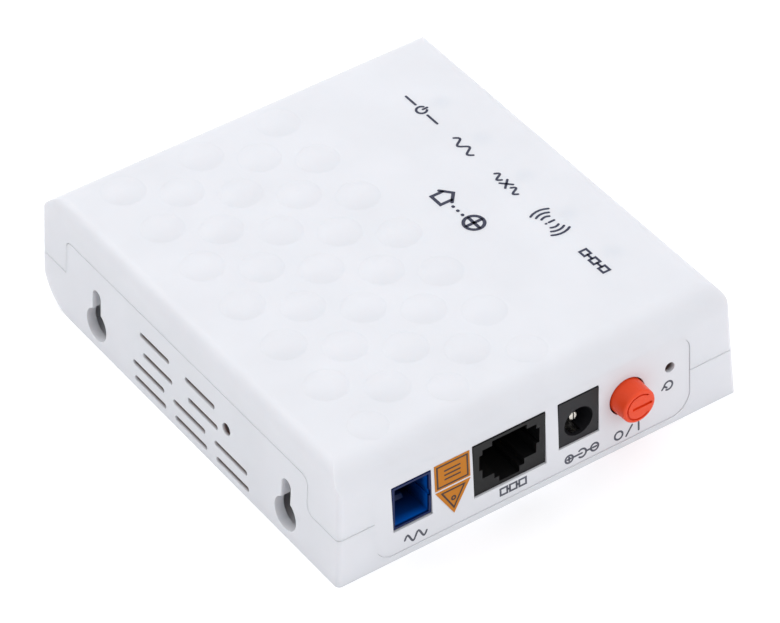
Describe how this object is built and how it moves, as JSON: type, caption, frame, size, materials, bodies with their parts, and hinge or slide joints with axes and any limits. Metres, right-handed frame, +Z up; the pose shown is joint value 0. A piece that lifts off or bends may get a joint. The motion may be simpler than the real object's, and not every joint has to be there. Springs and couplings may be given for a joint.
{
  "type": "optical network terminal",
  "caption": "Flat white network box with a domed lattice top, a fibre port, a LAN port, a power inlet, a push-in power button, a reset pinhole, side vents and keyholes.",
  "frame": {"origin": "middle of the footprint, on the surface the box stands on", "axes": "+Z up; -Y is the side with the ports; +X is to the right of someone facing the ports; the wall with the vents and keyholes is at -X"},
  "size_m": [0.09, 0.103, 0.0255],
  "materials": {
    "white_shell": "satin white",
    "white_panel": "satin white",
    "sticker_orange": "printed film",
    "label_paper": "matt paper film",
    "board_green": "solder resist",
    "screw_steel": "zinc plated",
    "chip_black": "moulded epoxy",
    "tinned_metal": "tinned",
    "pad_grey": "soft pad",
    "black_aluminium": "black anodised",
    "ferrite_grey": "sintered",
    "capacitor_sleeve": "bare can",
    "ceramic_tan": "fired ceramic",
    "led_resin": "clear resin",
    "port_blue": "satin blue",
    "nickel_metal": "nickel plated",
    "zirconia_white": "polished ceramic",
    "gold_metal": "gold plated",
    "port_black": "fine moulded texture",
    "inlet_grey": "satin moulded",
    "button_orange": "satin",
    "stem_white": "moulded",
    "switch_black": "moulded",
    "spring_steel": "drawn wire"
  },
  "bodies": {
    "housing": {"upper_cover": "white_shell", "lower_case": "white_shell", "port_panel": "white_panel", "port_sticker": "sticker_orange", "rating_label": "label_paper", "circuit_board": "board_green", "case_screws": "screw_steel", "board_screws": "screw_steel", "processor_chip": "chip_black", "memory_chip": "chip_black", "flash_chip": "chip_black", "laser_driver_chip": "chip_black", "regulator_chips": "chip_black", "crystal_can": "tinned_metal", "lan_transformer": "chip_black", "lan_transformer_leads": "tinned_metal", "thermal_pad": "pad_grey", "heat_sink": "black_aluminium", "power_inductors": "ferrite_grey", "filter_capacitors": "capacitor_sleeve", "ceramic_capacitors": "ceramic_tan", "status_leds": "led_resin", "sc_receptacle": "port_blue", "sc_latch": "port_blue", "optical_body": "nickel_metal", "alignment_sleeve": "zirconia_white", "laser_can": "gold_metal", "detector_can": "gold_metal", "optics_pins": "gold_metal", "lan_jack_housing": "port_black", "lan_jack_contacts": "gold_metal", "power_jack_housing": "inlet_grey", "power_jack_pin": "nickel_metal", "power_jack_spring": "nickel_metal", "power_jack_lugs": "tinned_metal", "power_switch_body": "switch_black", "power_switch_frame": "tinned_metal", "power_switch_spring": "spring_steel", "power_switch_pins": "tinned_metal", "reset_switch_body": "switch_black", "reset_switch_frame": "tinned_metal", "reset_snap_dome": "spring_steel", "reset_switch_pins": "tinned_metal"},
    "power_button": {"power_button_cap": "button_orange", "power_button_stem": "stem_white"},
    "reset_button": {"reset_plunger": "stem_white"}
  },
  "joints": [
    {"name": "power_button_press", "type": "slide", "parent": "housing", "child": "power_button", "axis": [0, 1, 0], "range_m": [0, 0.0025], "stiffness_N_per_m": 500, "springref_m": -0.002, "deforming": ["power_switch_spring"]},
    {"name": "reset_button_press", "type": "slide", "parent": "housing", "child": "reset_button", "axis": [0, 1, 0], "range_m": [0, 0.0003], "stiffness_N_per_m": 1500, "springref_m": -0.0003, "deforming": ["reset_snap_dome"]}
  ]
}
